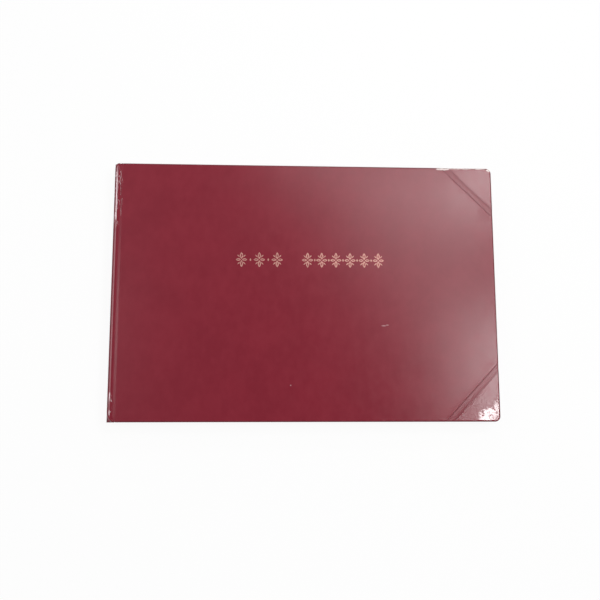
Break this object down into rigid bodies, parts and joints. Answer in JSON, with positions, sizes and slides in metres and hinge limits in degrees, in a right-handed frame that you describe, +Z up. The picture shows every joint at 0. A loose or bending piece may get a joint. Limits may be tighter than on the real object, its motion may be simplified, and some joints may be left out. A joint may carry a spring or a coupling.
{
  "type": "hard-bound ledger book",
  "caption": "Landscape hard-bound ledger with leatherette covers, sewn sections and a rounded spine; both covers and the leaves open.",
  "frame": {"origin": "under the middle of the closed book, on the surface that its back cover lies on", "axes": "+X from the spine to the fore-edge, +Y from the tail to the head, +Z up through the thickness, from the back cover to the front cover"},
  "size_m": [0.32, 0.215, 0.0185],
  "materials": {
    "leatherette": "semi-gloss maroon leatherette, coated cloth with a fine grain",
    "greyboard": "dense grey binder's board",
    "endpaper": "plain matt cream endpaper",
    "ledger_paper": "smooth off-white ledger paper",
    "kraft_paper": "brown kraft paper",
    "gauze": "open-weave starched gauze",
    "sewing_tape": "unbleached cotton tape",
    "headband": "striped red and cream woven band"
  },
  "bodies": {
    "text_block": {"spine_cloth": "leatherette", "spine_card": "greyboard", "kraft_lining": "kraft_paper", "mull": "gauze", "sewing_tape_1": "sewing_tape", "sewing_tape_2": "sewing_tape", "sewing_tape_3": "sewing_tape", "headband_head": "headband", "headband_tail": "headband", "section_01_fold": "ledger_paper", "section_02_fold": "ledger_paper", "section_03_fold": "ledger_paper", "section_04_fold": "ledger_paper", "section_05_fold": "ledger_paper", "section_06_fold": "ledger_paper", "section_07_fold": "ledger_paper", "section_08_fold": "ledger_paper", "section_09_fold": "ledger_paper", "section_10_fold": "ledger_paper", "section_10_leaves": "ledger_paper"},
    "front_cover": {"front_board": "greyboard", "front_side_cloth": "leatherette", "front_corner_head": "leatherette", "front_corner_tail": "leatherette", "front_pastedown": "endpaper"},
    "back_cover": {"back_board": "greyboard", "back_side_cloth": "leatherette", "back_corner_head": "leatherette", "back_corner_tail": "leatherette", "back_pastedown": "endpaper"},
    "front_flyleaf": {"front_flyleaf": "endpaper"},
    "back_flyleaf": {"back_flyleaf": "endpaper"},
    "section_01": {"section_01_leaves": "ledger_paper"},
    "section_02": {"section_02_leaves": "ledger_paper"},
    "section_03": {"section_03_leaves": "ledger_paper"},
    "section_04": {"section_04_leaves": "ledger_paper"},
    "section_05": {"section_05_leaves": "ledger_paper"},
    "section_06": {"section_06_leaves": "ledger_paper"},
    "section_07": {"section_07_leaves": "ledger_paper"},
    "section_08": {"section_08_leaves": "ledger_paper"},
    "section_09": {"section_09_leaves": "ledger_paper"}
  },
  "joints": [
    {"name": "front_cover_hinge", "type": "hinge", "parent": "text_block", "child": "front_cover", "pos_m": [-0.1568, 0, 0.01545], "axis": [0, -1, 0], "range_deg": [0, 179]},
    {"name": "back_cover_hinge", "type": "hinge", "parent": "text_block", "child": "back_cover", "pos_m": [-0.1568, 0, 0.0031], "axis": [0, 1, 0], "range_deg": [0, 179]},
    {"name": "front_flyleaf_turn", "type": "hinge", "parent": "text_block", "child": "front_flyleaf", "pos_m": [-0.1546, 0, 0.017], "axis": [0, -1, 0], "range_deg": [0, 178.7]},
    {"name": "section_01_turn", "type": "hinge", "parent": "text_block", "child": "section_01", "pos_m": [-0.1546, 0, 0.017], "axis": [0, -1, 0], "range_deg": [0, 178.4]},
    {"name": "section_02_turn", "type": "hinge", "parent": "text_block", "child": "section_02", "pos_m": [-0.1546, 0, 0.017], "axis": [0, -1, 0], "range_deg": [0, 178]},
    {"name": "section_03_turn", "type": "hinge", "parent": "text_block", "child": "section_03", "pos_m": [-0.1546, 0, 0.017], "axis": [0, -1, 0], "range_deg": [0, 177.5]},
    {"name": "section_04_turn", "type": "hinge", "parent": "text_block", "child": "section_04", "pos_m": [-0.1546, 0, 0.017], "axis": [0, -1, 0], "range_deg": [0, 176.9]},
    {"name": "section_05_turn", "type": "hinge", "parent": "text_block", "child": "section_05", "pos_m": [-0.1546, 0, 0.017], "axis": [0, -1, 0], "range_deg": [0, 176.2]},
    {"name": "section_06_turn", "type": "hinge", "parent": "text_block", "child": "section_06", "pos_m": [-0.1546, 0, 0.017], "axis": [0, -1, 0], "range_deg": [0, 3]},
    {"name": "section_07_turn", "type": "hinge", "parent": "text_block", "child": "section_07", "pos_m": [-0.1546, 0, 0.017], "axis": [0, -1, 0], "range_deg": [0, 2.1]},
    {"name": "section_08_turn", "type": "hinge", "parent": "text_block", "child": "section_08", "pos_m": [-0.1546, 0, 0.017], "axis": [0, -1, 0], "range_deg": [0, 1.3]},
    {"name": "section_09_turn", "type": "hinge", "parent": "text_block", "child": "section_09", "pos_m": [-0.1546, 0, 0.017], "axis": [0, -1, 0], "range_deg": [0, 0.6]},
    {"name": "back_flyleaf_turn", "type": "hinge", "parent": "text_block", "child": "back_flyleaf", "pos_m": [-0.1546, 0, 0.00155], "axis": [0, 1, 0], "range_deg": [0, 178.7]}
  ],
  "couplings": [
    {"joint": "front_flyleaf_turn", "follows": "front_cover_hinge", "ratio": 0.99832},
    {"joint": "section_01_turn", "follows": "front_cover_hinge", "ratio": 0.99665},
    {"joint": "section_02_turn", "follows": "front_cover_hinge", "ratio": 0.99441},
    {"joint": "section_03_turn", "follows": "front_cover_hinge", "ratio": 0.99162},
    {"joint": "section_04_turn", "follows": "front_cover_hinge", "ratio": 0.98827},
    {"joint": "section_05_turn", "follows": "front_cover_hinge", "ratio": 0.98436},
    {"joint": "section_06_turn", "follows": "front_cover_hinge", "ratio": 0.016759},
    {"joint": "section_07_turn", "follows": "front_cover_hinge", "ratio": 0.011731},
    {"joint": "section_08_turn", "follows": "front_cover_hinge", "ratio": 0.007262},
    {"joint": "section_09_turn", "follows": "front_cover_hinge", "ratio": 0.003351},
    {"joint": "back_flyleaf_turn", "follows": "back_cover_hinge", "ratio": 0.99832}
  ]
}
